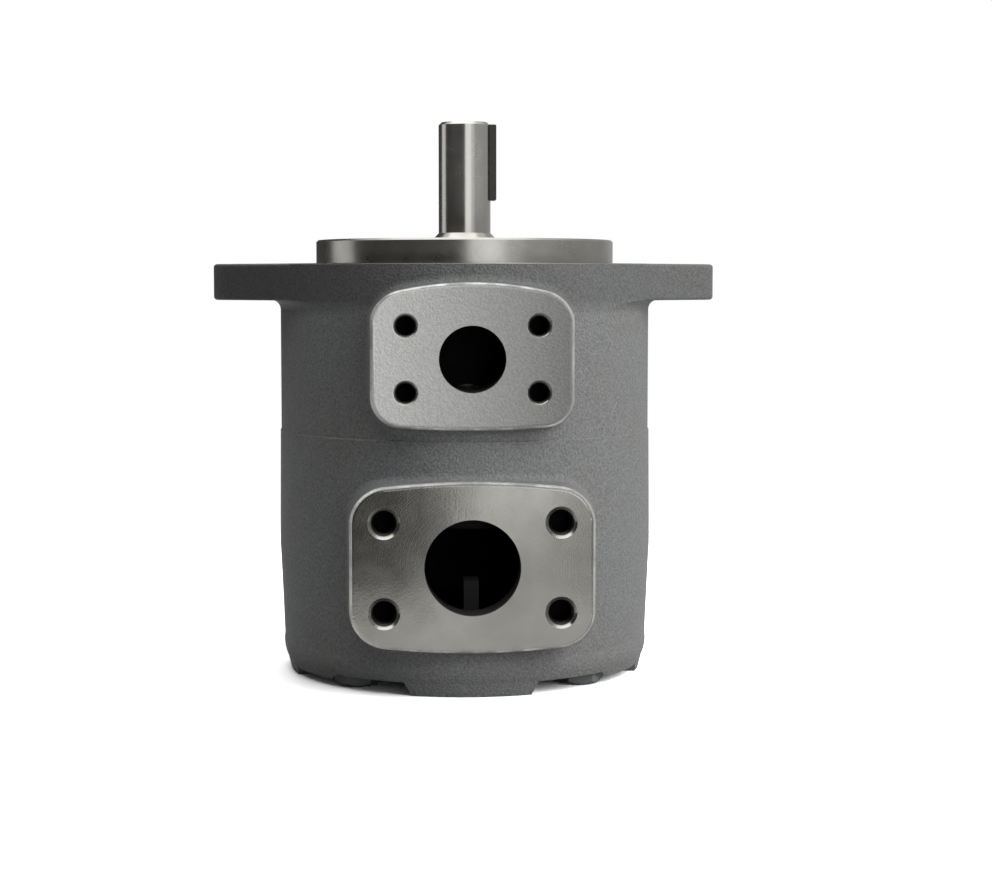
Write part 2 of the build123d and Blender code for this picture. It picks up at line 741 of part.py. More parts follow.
# Cam ring with its two-lobed track
with BuildPart() as cam_ring:
    with BuildSketch(Plane.XY.offset(ring_bottom_z)):
        Circle(ring_outer_radius)
        with BuildSketch(mode=Mode.PRIVATE) as track:
            with BuildLine():
                for turn in (0, 180):
                    CenterArc((0, 0), minor_radius, turn - dwell_angle, 2 * dwell_angle)
                    cam_ramp(turn + dwell_angle, turn + 90 - dwell_angle)
                    CenterArc((0, 0), major_radius, turn + 90 - dwell_angle, 2 * dwell_angle)
                    cam_ramp(turn + 90 + dwell_angle, turn + 180 - dwell_angle)
            make_face()
        add(track.sketch, mode=Mode.SUBTRACT)
    extrude(amount=ring_top_z - ring_bottom_z)
    add(fastener_bores(ring_bottom_z, ring_top_z, cartridge_screw_clearance), mode=Mode.SUBTRACT)
save(cam_ring, "cam_ring")

# Rotor with its vane slots
rotor_low_z = ring_bottom_z + side_clearance
rotor_high_z = ring_top_z - side_clearance
with BuildPart() as rotor:
    with BuildSketch(Plane.XY.offset(rotor_low_z)):
        Circle(rotor_radius)
        add(spline_outline(spline_root_radius + spline_clearance, neck_shaft_radius + spline_clearance,
                           spline_width + 2 * spline_clearance), mode=Mode.SUBTRACT)
        with PolarLocations(slot_root_centre, vane_count):
            Circle(slot_root_radius, mode=Mode.SUBTRACT)
            Rectangle(2 * (rotor_radius - slot_root_centre), vane_thickness + 2 * slot_clearance,
                      align=(Align.MIN, Align.CENTER), mode=Mode.SUBTRACT)
    extrude(amount=rotor_high_z - rotor_low_z)
save(rotor, "rotor")

# Vanes, one file each
for number in range(vane_count):
    with BuildPart() as vane:
        with BuildSketch(Plane.XY.offset(rotor_low_z)):
            with PolarLocations(rotor_radius, 1, start_angle=360 / vane_count * number):
                Rectangle(vane_height, vane_thickness, align=(Align.MAX, Align.CENTER))
        extrude(amount=rotor_high_z - rotor_low_z)
        middle = Vector(rotor_radius - vane_height / 2, 0).rotate(Axis.Z, 360 / vane_count * number)
        upright = vane.edges().filter_by(Axis.Z)
        tips = [e for e in upright if hypot(e.center().X, e.center().Y) > middle.length]
        chamfer(tips, vane_tip_bevel)
    save(vane, f"vane_{number + 1:02d}")

# Side plate on the suction side, with its bushing
with BuildPart() as side_plate:
    revolve(section([(bushing_outer_radius, ring_bottom_z), (ring_outer_radius, ring_bottom_z),
                     (ring_outer_radius, side_plate_bottom_z), (spigot_radius, side_plate_bottom_z),
                     (spigot_radius, side_plate_bottom_z - spigot_height),
                     (bushing_outer_radius, side_plate_bottom_z - spigot_height)]))
    with BuildSketch(Plane.XY.offset(ring_bottom_z)):
        for angle in suction_angles:
            add(kidney(window_inner, window_outer, angle, window_sweep))
    extrude(amount=side_plate_bottom_z - spigot_height - ring_bottom_z, mode=Mode.SUBTRACT)
    with BuildSketch(Plane.XY.offset(ring_bottom_z)):
        for angle in suction_angles:
            add(sector(window_inner, body_bore_radius, angle, window_sweep))
    extrude(amount=-window_recess_depth, mode=Mode.SUBTRACT)
    with BuildSketch(Plane.XY.offset(ring_bottom_z)):
        for angle in discharge_angles:
            add(kidney(window_inner, window_outer, angle, window_sweep))
        for angle in discharge_angles + suction_angles:
            add(kidney(under_vane_inner, under_vane_outer, angle, window_sweep))
    extrude(amount=-under_vane_depth, mode=Mode.SUBTRACT)
    add(fastener_bores(side_plate_bottom_z - spigot_height, ring_bottom_z, cartridge_screw_clearance),
        mode=Mode.SUBTRACT)
    with BuildSketch(Plane.XY.offset(cartridge_head_z)):
        with Locations(*on_circle(cartridge_screw_angles)):
            Circle(cartridge_head_pocket)
    extrude(amount=side_plate_bottom_z - spigot_height - cartridge_head_z, mode=Mode.SUBTRACT)
save(side_plate, "side_plate")

with BuildPart() as rear_bushing:
    revolve(band(tail_radius + bushing_clearance, bushing_outer_radius, side_plate_bottom_z,
                 side_plate_bottom_z + bushing_length))
save(rear_bushing, "rear_bushing")


def o_ring(radius, z, half_radial, half_height):
    """A rubber ring squeezed to fill its groove."""
    with BuildPart() as ring:
        with BuildSketch(Plane.XZ):
            with Locations((radius, z)):
                Ellipse(half_radial, half_height)
        revolve(axis=Axis.Z)
    return ring.part


hub_seat_radius = plate_hub_radius + plate_clearance
with BuildPart() as hub_o_ring:
    add(o_ring((hub_groove_radius + hub_seat_radius) / 2, hub_groove_top_z - hub_groove_width / 2,
               (hub_seat_radius - hub_groove_radius) / 2 - ring_slack, hub_groove_width / 2 - ring_slack))
save(hub_o_ring, "hub_o_ring")

with BuildPart() as plate_o_ring:
    add(o_ring((plate_groove_radius + plate_bore_radius) / 2, plate_groove_top_z - plate_groove_width / 2,
               (plate_bore_radius - plate_groove_radius) / 2 - ring_slack,
               plate_groove_width / 2 - ring_slack))
save(plate_o_ring, "plate_o_ring")

with BuildPart() as housing_o_ring:
    add(o_ring(body_groove_radius, joint_z - body_groove_depth / 2, body_groove_width / 2 - ring_slack,
               body_groove_depth / 2 - ring_slack))
save(housing_o_ring, "housing_o_ring")
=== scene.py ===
from math import cos, radians, sin

import bpy
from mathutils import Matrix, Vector


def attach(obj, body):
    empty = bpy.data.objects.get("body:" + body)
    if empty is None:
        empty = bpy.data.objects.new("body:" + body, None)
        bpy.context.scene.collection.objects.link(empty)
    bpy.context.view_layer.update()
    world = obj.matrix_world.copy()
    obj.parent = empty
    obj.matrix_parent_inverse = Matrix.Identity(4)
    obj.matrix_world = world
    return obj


bl_info = {
    "name": "Hydraulic vane pump",
    "version": (1, 0, 0),
    "blender": (4, 5, 0),
    "location": "View3D > Sidebar > Pump",
    "description": "Finishes, thread turns and a studio for a flange-mounted hydraulic vane pump",
    "category": "Object",
}

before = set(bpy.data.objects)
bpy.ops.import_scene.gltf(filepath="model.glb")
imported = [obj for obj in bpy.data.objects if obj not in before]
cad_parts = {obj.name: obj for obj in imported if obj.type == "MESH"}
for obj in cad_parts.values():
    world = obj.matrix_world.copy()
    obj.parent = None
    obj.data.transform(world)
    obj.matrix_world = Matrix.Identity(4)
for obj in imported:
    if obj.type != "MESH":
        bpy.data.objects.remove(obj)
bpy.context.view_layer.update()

# Places on the castings, in millimetres in the pump's own frame
PAD_FACE_Y = -84.0
FLANGE_FACE_Z = 0.0
FOOT_Z = -172.9
JOINT_Z = -70.0
WEB_Z = -24.0
HEEL_Z = -158.0
INNER_RADIUS = 76.0
EAR_X = 90.5
EAR_HOLE_RADIUS = 8.75
# Each port: height, bore radius, half pitches of its bolt holes, their radius, mouth and depth
PORTS = {
    "discharge": {"z": -37.7, "bore": 13.2, "pitch": (26.185, 13.095),
                  "hole": 4.25, "mouth": 5.0, "depth": 20.0},
    "suction": {"z": -119.7, "bore": 19.05, "pitch": (34.925, 17.855),
                "hole": 5.2, "mouth": 6.4, "depth": 22.0},
}
# Thread turns cut in the bolt holes: pitch and ridge height
THREADS = {"discharge": (1.5, 0.5), "suction": (1.75, 0.6)}
# Depths behind the pads' face, in millimetres, between which a finish fades in
PAD_FACE = (0.25, 0.1)
PAD_BLAST = (0.3, 0.2)
PAD_RIM_START = (0.1, 0.25)
PAD_RIM_END = (1.9, 1.4)
PAD_SIDE = (3.0, 2.9)
# The holes' painted shade fades in between these depths.
HOLE_SHADE = (0.9, 2.4)
# How far outside a bore's wall its cut finish fades in, and where the ports' bores end along Y
BORE_WALL = (0.12, 0.04)
BORE_END_Y = (-44.0, -44.5)
# Where the flange's darker paint starts along Z and its painted shade deepens along X, and half the width of
# the upper pad's painted sheen
FLANGE_SHADE_Z = (-21.0, -15.0)
FLANGE_SHADE_X = (-80.0, -20.0)
BLAST_SHEEN_X = 40.0
# The part of a noise pattern's range that holds nearly all of it
NOISE_LOW = 0.3
NOISE_HIGH = 0.7
# Between which values of the stain pattern the pads' edges carry their rubbed bare iron and painted
# highlight, and how much of it everywhere else
RIM_HIGHLIGHT_STAIN = (0.38, 0.62)
RIM_HIGHLIGHT_LEAST = 0.4
# Height of the blasted grain as a share of the paint's
BLASTED_GRAIN = 0.5
# Roughness: paint, milled iron, what turned iron adds, blasted iron and the raw inside
PAINT_ROUGH = (0.5, 0.62)
MILLED_ROUGH = (0.2, 0.26)
TURNED_ROUGHER = 0.05
BLASTED_ROUGH = 0.5
INNER_ROUGH = 0.8
# Turned and ground metals: stains per millimetre, spread of the roughness and draw of the highlight
METAL_STAIN = 0.15
METAL_SPREAD = 0.05
METAL_SHEEN = 0.8
# The floor turns white between this distance, in millimetres, and this share of its radius
FLOOR_FADE_START = 250.0
FLOOR_FADE_SHARE = 0.28
MM = 0.001


def shade(code):
    """Linear RGBA from an sRGB hex code."""
    parts = [int(code[i:i + 2], 16) / 255 for i in (1, 3, 5)]
    return [p / 12.92 if p <= 0.04045 else ((p + 0.055) / 1.055) ** 2.4 for p in parts] + [1.0]


def put(tree, kind, inputs=None, **settings):
    """Add a node with its settings, its input values and its incoming links."""
    made = tree.nodes.new("ShaderNode" + kind)
    for name, value in settings.items():
        setattr(made, name, value)
    for name, value in (inputs or {}).items():
        if isinstance(value, bpy.types.NodeSocket):
            tree.links.new(value, made.inputs[name])
        else:
            made.inputs[name].default_value = value
    return made


def fresh_material(name):
    """A new material with an empty node tree."""
    material = bpy.data.materials.new(name)
    material.use_nodes = True
    material.node_tree.nodes.clear()
    return material, material.node_tree


def close_material(tree, **values):
    """The Principled surface and the output that end a material."""
    inputs = {name.replace("_", " "): value for name, value in values.items()}
    surface = put(tree, "BsdfPrincipled", inputs)
    put(tree, "OutputMaterial", {"Surface": surface.outputs[0]})


def millimetres(tree):
    """The point in the pump's frame in millimetres, and its x, y and z."""
    coords = put(tree, "TexCoord")
    place = put(tree, "VectorMath", {0: coords.outputs["Object"], "Scale": 1 / MM}, operation="SCALE")
    axes = put(tree, "SeparateXYZ", {0: place.outputs[0]})
    return place.outputs[0], axes.outputs[0], axes.outputs[1], axes.outputs[2]


def beyond(tree, value, start, end):
    """A mask that rises from 0 at start to 1 at end."""
    return put(tree, "MapRange", {"Value": value, "From Min": start, "From Max": end}).outputs[0]


def behind_pad(tree, y, depths):
    """A mask that rises from 0 to 1 between two depths behind the pads' face."""
    return beyond(tree, y, PAD_FACE_Y + depths[0], PAD_FACE_Y + depths[1])


def within(tree, distance, radius):
    """Inside a bore of this radius, and on its wall."""
    return beyond(tree, distance, radius + BORE_WALL[0], radius + BORE_WALL[1])


def noise_light(tree, noise, depth):
    """A factor that swings by this depth either side of 1 with a noise pattern."""
    return put(tree, "MapRange", {"Value": noise.outputs[0], "From Min": NOISE_LOW, "From Max": NOISE_HIGH,
                                  "To Min": 1 - depth, "To Max": 1 + depth}).outputs[0]


def off_centre(tree, value, centre, pitch=0.0):
    """The distance from a centre along an axis, or from the nearer of two places a pitch aside of it."""
    shifted = put(tree, "Math", {0: value, 1: centre}, operation="SUBTRACT")
    folded = put(tree, "Math", {0: shifted.outputs[0]}, operation="ABSOLUTE")
    return put(tree, "Math", {0: folded.outputs[0], 1: pitch}, operation="SUBTRACT").outputs[0]


def reach(tree, across, along):
    """The distance from a centre, from two distances at right angles."""
    flat = put(tree, "CombineXYZ", {0: across, 1: along})
    return put(tree, "VectorMath", {0: flat.outputs[0]}, operation="LENGTH").outputs["Value"]


def any_of(tree, masks):
    """Where any of the masks is set."""
    total = masks[0]
    for mask in masks[1:]:
        total = put(tree, "Math", {0: total, 1: mask}, operation="MAXIMUM").outputs[0]
    return total


def both(tree, one, other):
    """Where both masks are set."""
    return put(tree, "Math", {0: one, 1: other}, operation="MULTIPLY").outputs[0]


def hole_masks(tree, x, y, z):
    """Inside the ports' bores and bolt holes."""
    masks = []
    for port in PORTS.values():
        aside, above = port["pitch"]
        bore = reach(tree, x, off_centre(tree, z, port["z"]))
        hole = reach(tree, off_centre(tree, x, 0.0, aside), off_centre(tree, z, port["z"], above))
        masks += [within(tree, bore, port["bore"]), within(tree, hole, port["mouth"])]
    return both(tree, any_of(tree, masks), beyond(tree, y, *BORE_END_Y))


def cut_mask(tree, holes, x, y, z):
    """Where a tool has cut the castings: faces, pilot, bores and bolt holes."""
    ear = reach(tree, off_centre(tree, x, 0.0, EAR_X), y)
    return any_of(tree, [
        holes,
        behind_pad(tree, y, PAD_FACE),
        beyond(tree, z, FLANGE_FACE_Z - 0.5, FLANGE_FACE_Z - 0.3),
        beyond(tree, z, FOOT_Z + 0.15, FOOT_Z + 0.05),
        within(tree, ear, EAR_HOLE_RADIUS),
    ])


def inner_shade_mask(tree, holes, x, y, z):
    """The castings' inside, painted near-black as shade: the cored hollows, and the bores and holes a little
    way in.
    """
    barrel = both(tree, beyond(tree, z, WEB_Z, WEB_Z - 0.5), beyond(tree, z, HEEL_Z, HEEL_Z + 0.5))
    hollow = both(tree, barrel, beyond(tree, reach(tree, x, y), INNER_RADIUS, INNER_RADIUS - 0.3))
    return any_of(tree, [hollow, both(tree, holes, behind_pad(tree, y, HOLE_SHADE))])


def tool_marks(tree, x, y, z, on_pad, lower):
    """The tool's rings and the way across them: about the port on each pad, about the shaft elsewhere."""
    drop = PORTS["discharge"]["z"] - PORTS["suction"]["z"]
    raised = put(tree, "Math", {0: lower, 1: drop, 2: z}, operation="MULTIPLY_ADD")
    above = put(tree, "Math", {0: raised.outputs[0], 1: PORTS["discharge"]["z"]}, operation="SUBTRACT")
    turned = put(tree, "CombineXYZ", {0: reach(tree, x, y), 1: z})
    milled = put(tree, "CombineXYZ", {0: reach(tree, x, above.outputs[0])})
    rings = put(tree, "Mix", {0: on_pad, 4: turned.outputs[0], 5: milled.outputs[0]}, data_type="VECTOR")
    outwards = put(tree, "CombineXYZ", {0: x, 1: y, 2: reach(tree, x, y)})
    from_port = put(tree, "CombineXYZ", {0: x, 2: above.outputs[0]})
    across = put(tree, "Mix", {0: on_pad, 4: outwards.outputs[0], 5: from_port.outputs[0]},
                 data_type="VECTOR")
    return rings.outputs[1], put(tree, "VectorMath", {0: across.outputs[1]}, operation="NORMALIZE").outputs[0]


def paint_colour(tree, settings, place, x, z, speck):
    """Grey paint in cool and warm patches, speckled by the grain, darker on the flange, with painted shade
    deepening towards the flange's left.
    """
    cloud = put(tree, "TexNoise", {"Vector": place, "Scale": 1 / settings.cloud_size, "Detail": 2.0})
    patches = put(tree, "Mix", {0: cloud.outputs[0], 6: settings.paint_cool, 7: settings.paint_warm},
                  data_type="RGBA")
    # Painted shade: the flange's paint darkens towards its left, where the light falls off across it.
    aside = put(tree, "MapRange", {"Value": x, "From Min": FLANGE_SHADE_X[0], "From Max": FLANGE_SHADE_X[1],
                                   "To Min": settings.flange_left_shade, "To Max": settings.flange_right})
    flange = put(tree, "MapRange", {"Value": z, "From Min": FLANGE_SHADE_Z[0], "From Max": FLANGE_SHADE_Z[1],
                                    "To Min": 1.0, "To Max": aside.outputs[0]})
    light = both(tree, noise_light(tree, speck, settings.paint_speckle), flange.outputs[0])
    painted = put(tree, "VectorMath", {0: patches.outputs[2], "Scale": light}, operation="SCALE")
    rough = put(tree, "MapRange", {"Value": cloud.outputs[0], "To Min": PAINT_ROUGH[0],
                                   "To Max": PAINT_ROUGH[1]})
    return painted.outputs[0], rough.outputs[0]


def iron_colour(tree, settings, x, speck, stain, upper):
    """Bare iron: stained where milled or turned, speckled where blasted, with a painted sheen that makes the
    blasted pad lighter on its left.
    """
    bare = put(tree, "Mix", {0: stain.outputs[0], 6: settings.iron_dark, 7: settings.iron_light},
               data_type="RGBA")
    # Painted sheen: the blasted upper pad goes from light on its left to dark on its right, as the light
    # falls across it.
    aside = beyond(tree, x, -BLAST_SHEEN_X, BLAST_SHEEN_X)
    blasted = put(tree, "Mix", {0: aside, 6: settings.blasted_lit_left, 7: settings.blasted_shaded_right},
                  data_type="RGBA")
    light = noise_light(tree, speck, settings.blast_speckle)
    peened = put(tree, "VectorMath", {0: blasted.outputs[2], "Scale": light}, operation="SCALE")
    return put(tree, "Mix", {0: upper, 6: bare.outputs[2], 7: peened.outputs[0]}, data_type="RGBA").outputs[2]


def rubbed_highlight_rim(tree, y, holes, stain):
    """The pads' rounded edges, rubbed bare and painted bright with a highlight in places."""
    rim = both(tree, behind_pad(tree, y, PAD_RIM_END), behind_pad(tree, y, PAD_RIM_START))
    clear = put(tree, "Math", {0: rim, 1: holes}, operation="SUBTRACT", use_clamp=True)
    rubbed_and_lit = put(tree, "MapRange", {"Value": stain.outputs[0], "From Min": RIM_HIGHLIGHT_STAIN[0],
                                  "From Max": RIM_HIGHLIGHT_STAIN[1], "To Min": RIM_HIGHLIGHT_LEAST})
    return both(tree, clear.outputs[0], rubbed_and_lit.outputs[0])


def casting_height(tree, settings, place, rings, speck, upper, milled):
    """The castings' relief: waves and grain under the paint, finer grain where blasted, rings where cut."""
    line = put(tree, "TexNoise", {"Vector": rings, "Scale": 1 / settings.tool_pitch, "Detail": 2.0},
               noise_dimensions="2D")
    swell = put(tree, "TexNoise", {"Vector": place, "Scale": 1 / settings.swell_size, "Detail": 1.0})
    grain = put(tree, "Math", {0: speck.outputs[0], 1: settings.grain_height}, operation="MULTIPLY")
    painted = put(tree, "Math", {0: swell.outputs[0], 1: settings.swell_height, 2: grain.outputs[0]},
                  operation="MULTIPLY_ADD")
    tool = put(tree, "Math", {0: line.outputs[0], 1: settings.tool_depth}, operation="MULTIPLY")
    bare = put(tree, "Math", {0: speck.outputs[0], 1: settings.tool_depth, 2: tool.outputs[0]},
               operation="MULTIPLY_ADD")
    blasted = put(tree, "Math", {0: grain.outputs[0], 1: BLASTED_GRAIN}, operation="MULTIPLY")
    skin = put(tree, "Mix", {0: upper, 2: painted.outputs[0], 3: blasted.outputs[0]})
    height = put(tree, "Mix", {0: milled, 2: skin.outputs[0], 3: bare.outputs[0]})
    return put(tree, "Bump", {"Height": height.outputs[0], "Distance": MM}).outputs[0]


def casting_rough(tree, stain, paint_rough, cut, inner, upper, on_pad):
    """The castings' roughness: smoothest where milled, matt where painted or blasted, dull inside."""
    bare = put(tree, "MapRange", {"Value": stain.outputs[0], "To Min": MILLED_ROUGH[0],
                                  "To Max": MILLED_ROUGH[1]})
    turned = put(tree, "Math", {0: bare.outputs[0], 1: TURNED_ROUGHER}, operation="ADD")
    milled = put(tree, "Mix", {0: on_pad, 2: turned.outputs[0], 3: bare.outputs[0]})
    faced = put(tree, "Mix", {0: upper, 2: milled.outputs[0], 3: BLASTED_ROUGH})
    skin = put(tree, "Mix", {0: cut, 2: paint_rough, 3: faced.outputs[0]})
    return put(tree, "Mix", {0: inner, 2: skin.outputs[0], 3: INNER_ROUGH}).outputs[0]


def casting_finish(settings):
    """Grey paint on cast iron, bare where a tool has cut it."""
    # Painted sand-cast iron: a fine even grain under matt grey paint, with cloudy warm and cool patches.
    # The cut faces are bare grey iron: a warm satin, drawn out across the fine rings that the tool left.
    # The upper pad is blasted after facing: matt and grainy, with a painted sheen that makes it lighter on
    # its left.
    # The pads' edges are rubbed bare and painted bright, a painted highlight where they catch the light. The
    # inside is raw cored iron, painted nearly black as the shade in the hollows.
    material, tree = fresh_material("painted_cast_iron")
    place, x, y, z = millimetres(tree)
    speck = put(tree, "TexNoise", {"Vector": place, "Scale": 1 / settings.grain_size, "Detail": 3.0})
    stain = put(tree, "TexNoise", {"Vector": place, "Scale": 1 / settings.stain_size, "Detail": 4.0})

    holes = hole_masks(tree, x, y, z)
    cut = cut_mask(tree, holes, x, y, z)
    inner = inner_shade_mask(tree, holes, x, y, z)
    edge = rubbed_highlight_rim(tree, y, holes, stain)
    on_pad = behind_pad(tree, y, PAD_SIDE)
    lower = beyond(tree, z, JOINT_Z - 8.0, JOINT_Z - 9.0)
    upper = both(tree, behind_pad(tree, y, PAD_BLAST), beyond(tree, z, JOINT_Z, JOINT_Z + 1.0))
    milled = put(tree, "Math", {0: cut, 1: upper}, operation="SUBTRACT", use_clamp=True).outputs[0]

    painted, paint_rough = paint_colour(tree, settings, place, x, z, speck)
    iron = iron_colour(tree, settings, x, speck, stain, upper)
    faced = put(tree, "Mix", {0: cut, 6: painted, 7: iron}, data_type="RGBA")
    # Painted highlight: the pads' edges are painted near-white bare iron, partly rubbed metal and partly the
    # light catching them.
    outside = put(tree, "Mix", {0: edge, 6: faced.outputs[2], 7: settings.iron_edge_highlight}, data_type="RGBA")
    # Painted shade: the inside and the holes past their mouths are near-black, as the shade that fills them.
    colour = put(tree, "Mix", {0: inner, 6: outside.outputs[2], 7: settings.inner_iron_shade}, data_type="RGBA")
    metal = put(tree, "Math", {0: any_of(tree, [cut, edge]), 1: any_of(tree, [inner, upper])},
                operation="SUBTRACT", use_clamp=True)
    rough = casting_rough(tree, stain, paint_rough, cut, inner, upper, on_pad)
    rings, across = tool_marks(tree, x, y, z, on_pad, lower)
    relief = casting_height(tree, settings, place, rings, speck, upper, milled)
    drawn = put(tree, "Math", {0: milled, 1: settings.tool_sheen}, operation="MULTIPLY")
    close_material(tree, Base_Color=colour.outputs[2], Metallic=metal.outputs[0], Roughness=rough,
                   Anisotropic=drawn.outputs[0], Tangent=across, Normal=relief)
    return material


def worked_metal(name, dark, light, rough, pitch, depth, turned=True, metallic=1.0):
    """A cut metal with fine tool lines: rings about the shaft where turned, an even grain elsewhere."""
    material, tree = fresh_material(name)
    place, x, y, z = millimetres(tree)
    course = place
    sheen = {}
    if turned:
        axis = reach(tree, x, y)
        course = put(tree, "CombineXYZ", {0: axis, 1: z}).outputs[0]
        outwards = put(tree, "CombineXYZ", {0: x, 1: y, 2: axis})
        across = put(tree, "VectorMath", {0: outwards.outputs[0]}, operation="NORMALIZE")
        sheen = {"Anisotropic": METAL_SHEEN, "Tangent": across.outputs[0]}
    line = put(tree, "TexNoise", {"Vector": course, "Scale": 1 / pitch, "Detail": 2.0})
    stain = put(tree, "TexNoise", {"Vector": place, "Scale": METAL_STAIN, "Detail": 3.0})
    colour = put(tree, "Mix", {0: stain.outputs[0], 6: shade(dark), 7: shade(light)}, data_type="RGBA")
    spread = put(tree, "MapRange", {"Value": stain.outputs[0], "To Min": rough - METAL_SPREAD,
                                    "To Max": rough + METAL_SPREAD})
    height = put(tree, "Math", {0: line.outputs[0], 1: depth}, operation="MULTIPLY")
    bump = put(tree, "Bump", {"Height": height.outputs[0], "Distance": MM})
    close_material(tree, Base_Color=colour.outputs[2], Metallic=metallic, Roughness=spread.outputs[0],
                   Normal=bump.outputs[0], **sheen)
    return material


def dress(material, *nodes):
    """Give CAD nodes a material."""
    for name in nodes:
        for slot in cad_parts[name].material_slots:
            slot.material = material


def settle(piece):
    """Put a piece's place into its mesh and leave its object at the origin."""
    bpy.ops.object.select_all(action="DESELECT")
    piece.select_set(True)
    bpy.context.view_layer.objects.active = piece
    bpy.ops.object.transform_apply(location=True, rotation=True, scale=True)


def wind_thread(radius, pitch, height, turns):
    """One hole's thread: a ridge with a blunt crest, wound inside the hole along Z."""
    bpy.ops.object.select_all(action="DESELECT")
    bpy.ops.mesh.primitive_circle_add(vertices=3, radius=height * MM, location=(radius * MM, 0, 0),
                                      rotation=(radians(90), radians(-90), 0))
    ridge = bpy.context.object
    settle(ridge)
    bpy.ops.object.mode_set(mode="EDIT")
    bpy.ops.mesh.select_all(action="SELECT")
    bpy.ops.transform.resize(value=(1, 1, pitch / height / 2))
    bpy.ops.mesh.bevel(offset=height * 0.2 * MM, affect="VERTICES")
    bpy.ops.object.mode_set(mode="OBJECT")
    wound = ridge.modifiers.new("turns", "SCREW")
    wound.axis = "Z"
    wound.screw_offset = pitch * MM
    wound.iterations = turns
    wound.steps = 28
    wound.render_steps = 28
    bpy.ops.object.modifier_apply(modifier=wound.name)
    bpy.ops.object.mode_set(mode="EDIT")
    bpy.ops.mesh.select_all(action="SELECT")
    bpy.ops.mesh.remove_doubles(threshold=0.000001)
    bpy.ops.mesh.fill_holes(sides=12)
    bpy.ops.mesh.normals_make_consistent(inside=False)
    bpy.ops.object.mode_set(mode="OBJECT")
    bpy.ops.object.shade_smooth_by_angle(angle=radians(35))
    ridge.rotation_euler = (radians(-90), 0, 0)
    settle(ridge)
    return ridge


class PumpFinish(bpy.types.PropertyGroup):
    """Colours and grain of the castings."""
    paint_cool: bpy.props.FloatVectorProperty(
        name="Cool paint", description="Paint colour in the cooler patches", subtype="COLOR", size=4,
        min=0, max=1, default=shade("#787b7d"))
    paint_warm: bpy.props.FloatVectorProperty(
        name="Warm paint", description="Paint colour in the warmer patches", subtype="COLOR", size=4,
        min=0, max=1, default=shade("#7b7a77"))
    iron_dark: bpy.props.FloatVectorProperty(
        name="Cut iron, dark", description="Darker tone of the bare iron", subtype="COLOR", size=4,
        min=0, max=1, default=shade("#918f89"))
    iron_light: bpy.props.FloatVectorProperty(
        name="Cut iron, light", description="Lighter tone of the bare iron", subtype="COLOR", size=4,
        min=0, max=1, default=shade("#b2b1ac"))
    # Painted sheen: the upper pad's light left and dark right tones stand in for the light falling across it.
    blasted_lit_left: bpy.props.FloatVectorProperty(
        name="Blasted iron, light", description="Tone of the upper pad's left", subtype="COLOR", size=4,
        min=0, max=1, default=shade("#d6d7d4"))
    blasted_shaded_right: bpy.props.FloatVectorProperty(
        name="Blasted iron, dark", description="Tone of the upper pad's right", subtype="COLOR", size=4,
        min=0, max=1, default=shade("#7c7d7a"))
    # Painted highlight: this near-white tone on the pads' edges stands partly for rubbed iron and partly for
    # the light catching them.
    iron_edge_highlight: bpy.props.FloatVectorProperty(
        name="Rubbed edge", description="Tone of the pads' rubbed edges", subtype="COLOR", size=4,
        min=0, max=1, default=shade("#dadad6"))
    # Painted shade: near-black for the castings' inside and deep holes, where little light reaches.
    inner_iron_shade: bpy.props.FloatVectorProperty(
        name="Inner iron", description="Tone of the oily raw iron inside", subtype="COLOR", size=4,
        min=0, max=1, default=shade("#0d0c0c"))
    # Painted shade: the flange's left is kept far darker than its right, standing in for the light falling
    # off across it.
    flange_left_shade: bpy.props.FloatProperty(
        name="Flange tone, left",
        description="How light the flange's paint is beside the barrel's, on the left",
        default=0.24, min=0, max=1)
    flange_right: bpy.props.FloatProperty(
        name="Flange tone, right",
        description="How light the flange's paint is beside the barrel's, on the right",
        default=0.66, min=0, max=1)
    grain_size: bpy.props.FloatProperty(
        name="Grain size", description="Width of a grain of the casting's skin, in mm",
        default=0.9, min=0.1)
    grain_height: bpy.props.FloatProperty(
        name="Grain height", description="Height of the grain, in mm", default=0.42, min=0)
    swell_height: bpy.props.FloatProperty(
        name="Swell height", description="Height of the casting's slow waves, in mm", default=0.25, min=0)
    swell_size: bpy.props.FloatProperty(
        name="Swell size", description="Length of the castings' slow waves, in mm", default=1 / 0.12, min=1)
    paint_speckle: bpy.props.FloatProperty(
        name="Paint speckle", description="How much the grain lightens and darkens the paint",
        default=0.3, min=0, max=1)
    blast_speckle: bpy.props.FloatProperty(
        name="Blast speckle", description="How much the grain lightens and darkens the blasted pad",
        default=0.12, min=0, max=1)
    cloud_size: bpy.props.FloatProperty(
        name="Patch size", description="Width of the cloudy patches, in mm", default=32.0, min=1)
    stain_size: bpy.props.FloatProperty(
        name="Stain size", description="Width of the stains on bare iron, in mm", default=9.0, min=1)
    tool_pitch: bpy.props.FloatProperty(
        name="Tool pitch", description="Spacing of the tool's rings, in mm, drawn coarse enough to show",
        default=0.5, min=0.05)
    tool_depth: bpy.props.FloatProperty(
        name="Tool depth", description="Depth of the tool's rings, in mm", default=0.02, min=0)
    tool_sheen: bpy.props.FloatProperty(
        name="Tool sheen", description="How far the tool's rings draw out a highlight",
        default=0.6, min=0, max=1)


